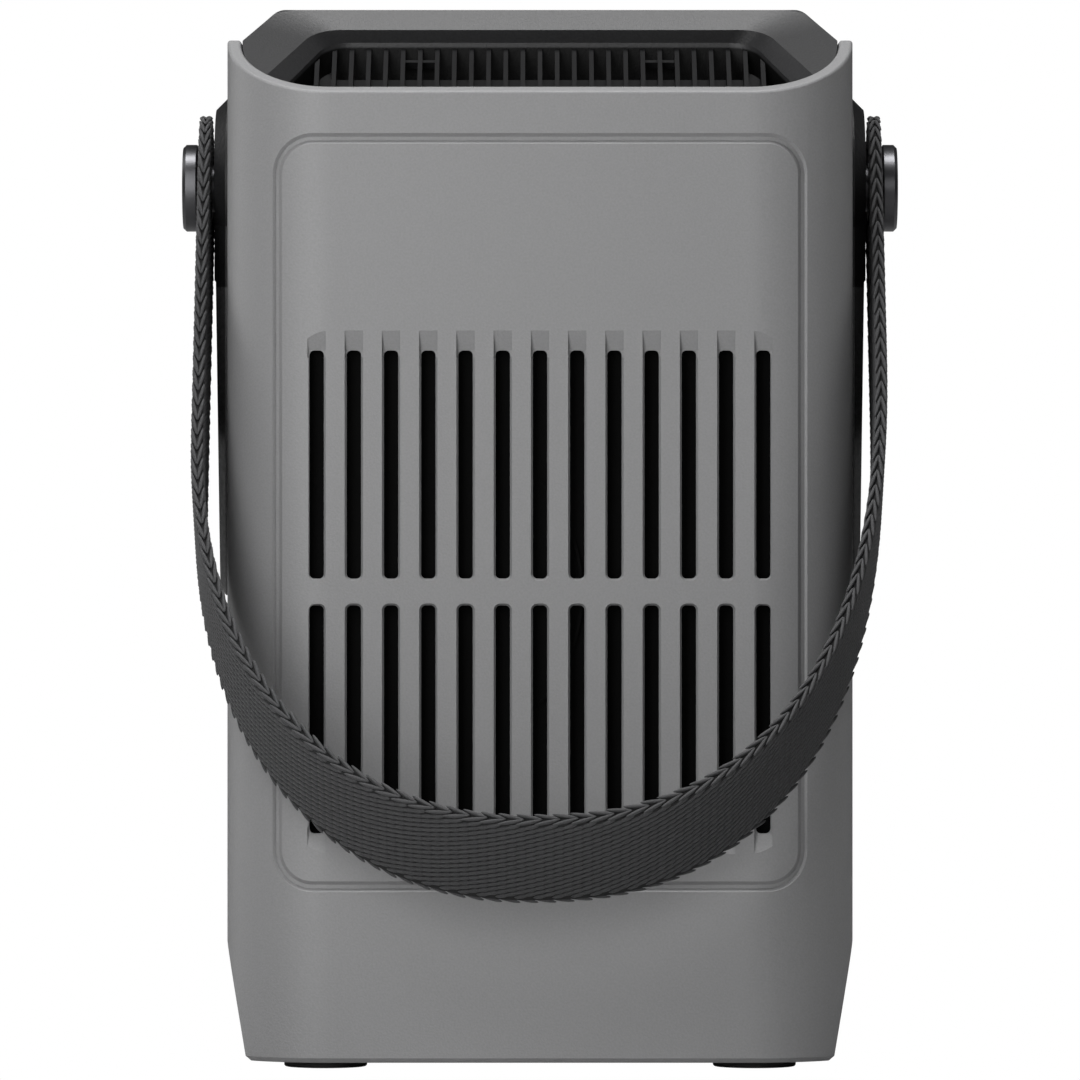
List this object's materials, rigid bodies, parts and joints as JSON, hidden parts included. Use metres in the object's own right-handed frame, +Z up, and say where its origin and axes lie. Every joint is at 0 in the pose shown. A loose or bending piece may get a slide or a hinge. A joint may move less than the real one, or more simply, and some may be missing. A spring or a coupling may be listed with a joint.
{
  "type": "portable power station",
  "caption": "Upright portable power station with a vented back, a sloping top grille, a front socket panel and a swinging webbing handle.",
  "frame": {"origin": "centre of the footprint, on the surface that the rubber feet stand on", "axes": "+Z up; +Y toward the front control panel; -Y toward the vented back; X across the width, along the handle's pivot axis"},
  "size_m": [0.152, 0.1576, 0.2247],
  "materials": {
    "shell_grey": "fine spark-eroded texture, mid grey",
    "lid_black": "fine textured, near black",
    "grille_black": "satin black",
    "foot_rubber": "matt black rubber",
    "screw_steel": "zinc plated",
    "cover_black": "coarse texture, black",
    "bolt_metal": "dark anodised, satin",
    "strap_webbing": "charcoal woven webbing",
    "panel_black": "satin black",
    "display_glass": "polished black",
    "display_black": "matt black",
    "button_grey": "satin dark grey",
    "board_green": "solder-masked circuit board",
    "part_black": "moulded electronic part",
    "socket_black": "satin black",
    "cover_rubber": "soft-touch black",
    "port_steel": "plated",
    "cell_blue": "shrink sleeve",
    "holder_black": "moulded",
    "bar_nickel": "nickel strip",
    "lead_red": "silicone insulation",
    "heat_sink": "extruded",
    "capacitor_sleeve": "shrink sleeve",
    "screen_black": "dust screen",
    "fan_black": "moulded"
  },
  "bodies": {
    "station": {"outer_shell": "shell_grey", "top_cap": "lid_black", "top_grille": "grille_black", "base_plate": "lid_black", "rubber_feet": "foot_rubber", "base_screws": "screw_steel", "side_cover_left": "cover_black", "side_cover_right": "cover_black", "strap_bolt_left": "bolt_metal", "strap_bolt_right": "bolt_metal", "strap_nuts": "screw_steel", "front_panel": "panel_black", "display_window": "display_glass", "display_module": "display_black", "front_board": "board_green", "tact_switches": "part_black", "car_socket": "socket_black", "dc_input_jack": "socket_black", "cover_pins": "screw_steel", "usb_board": "board_green", "usb_a_ports": "port_steel", "usb_c_ports": "port_steel", "battery_cells": "cell_blue", "cell_holder_bottom": "holder_black", "cell_holder_top": "holder_black", "busbars_top": "bar_nickel", "busbars_bottom": "bar_nickel", "bms_board": "board_green", "battery_leads": "lead_red", "main_board": "board_green", "heat_sink": "heat_sink", "inductors": "part_black", "capacitors": "capacitor_sleeve", "board_screws": "screw_steel", "dust_screen": "screen_black", "fan_frame": "fan_black", "fan_screws": "screw_steel"},
    "handle": {"carry_strap": "strap_webbing", "strap_bush_left": "bolt_metal", "strap_bush_right": "bolt_metal"},
    "power_key": {"power_button": "button_grey"},
    "dc_key": {"dc_button": "button_grey"},
    "usb_key": {"usb_button": "button_grey"},
    "socket_flap": {"car_socket_cover": "cover_rubber"},
    "input_flap": {"dc_input_cover": "cover_rubber"},
    "rotor": {"fan_rotor": "fan_black"}
  },
  "joints": [
    {"name": "handle_swing", "type": "hinge", "parent": "station", "child": "handle", "pos_m": [0, 0, 0.1847], "axis": [-1, 0, 0], "range_deg": [0, 295]},
    {"name": "power_key_push", "type": "slide", "parent": "station", "child": "power_key", "axis": [0, -1, 0], "range_m": [0, 0.0008], "stiffness_N_per_m": 400, "springref_m": -0.001},
    {"name": "dc_key_push", "type": "slide", "parent": "station", "child": "dc_key", "axis": [0, -1, 0], "range_m": [0, 0.0008], "stiffness_N_per_m": 400, "springref_m": -0.001},
    {"name": "usb_key_push", "type": "slide", "parent": "station", "child": "usb_key", "axis": [0, -1, 0], "range_m": [0, 0.0008], "stiffness_N_per_m": 400, "springref_m": -0.001},
    {"name": "socket_flap_hinge", "type": "hinge", "parent": "station", "child": "socket_flap", "pos_m": [0.0378, 0.05335, 0.168], "axis": [0, 0, -1], "range_deg": [0, 115]},
    {"name": "input_flap_hinge", "type": "hinge", "parent": "station", "child": "input_flap", "pos_m": [0.0308, 0.05335, 0.139], "axis": [0, 0, -1], "range_deg": [0, 115]},
    {"name": "fan_spin", "type": "hinge", "parent": "station", "child": "rotor", "pos_m": [0, -0.0446, 0.0989], "axis": [0, 1, 0], "continuous": true}
  ]
}
